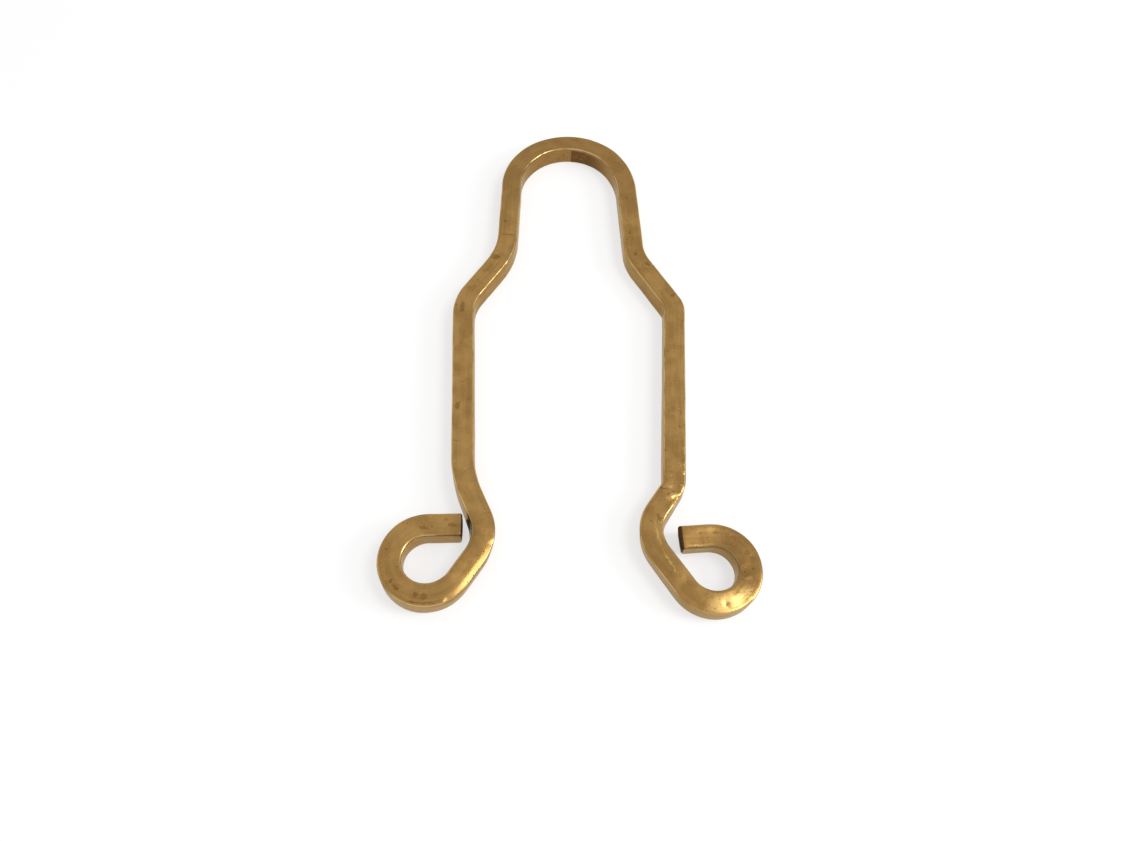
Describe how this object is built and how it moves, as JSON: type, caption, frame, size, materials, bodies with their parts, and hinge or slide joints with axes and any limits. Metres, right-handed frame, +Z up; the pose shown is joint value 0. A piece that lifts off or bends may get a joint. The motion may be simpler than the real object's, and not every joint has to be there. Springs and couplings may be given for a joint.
{
  "type": "fork clip",
  "caption": "Flat wire clip of square brass: a round arch, stepped shoulders, two long legs that act as a spring fork, and an open eye at each foot.",
  "frame": {"origin": "middle of the clip's box, on the plane that it lies on", "axes": "+Y along the clip from the eyes to the arch, +Z up out of the plane of the bends, +X across to the right-hand limb as seen from above"},
  "size_m": [0.0508, 0.0864, 0.0032],
  "materials": {
    "aged_brass": "drawn square wire, worn smooth and tarnished to a satin brown gold, with dark pits and bright rubbed spots"
  },
  "bodies": {
    "root": {"fork_clip": "aged_brass"}
  },
  "joints": []
}
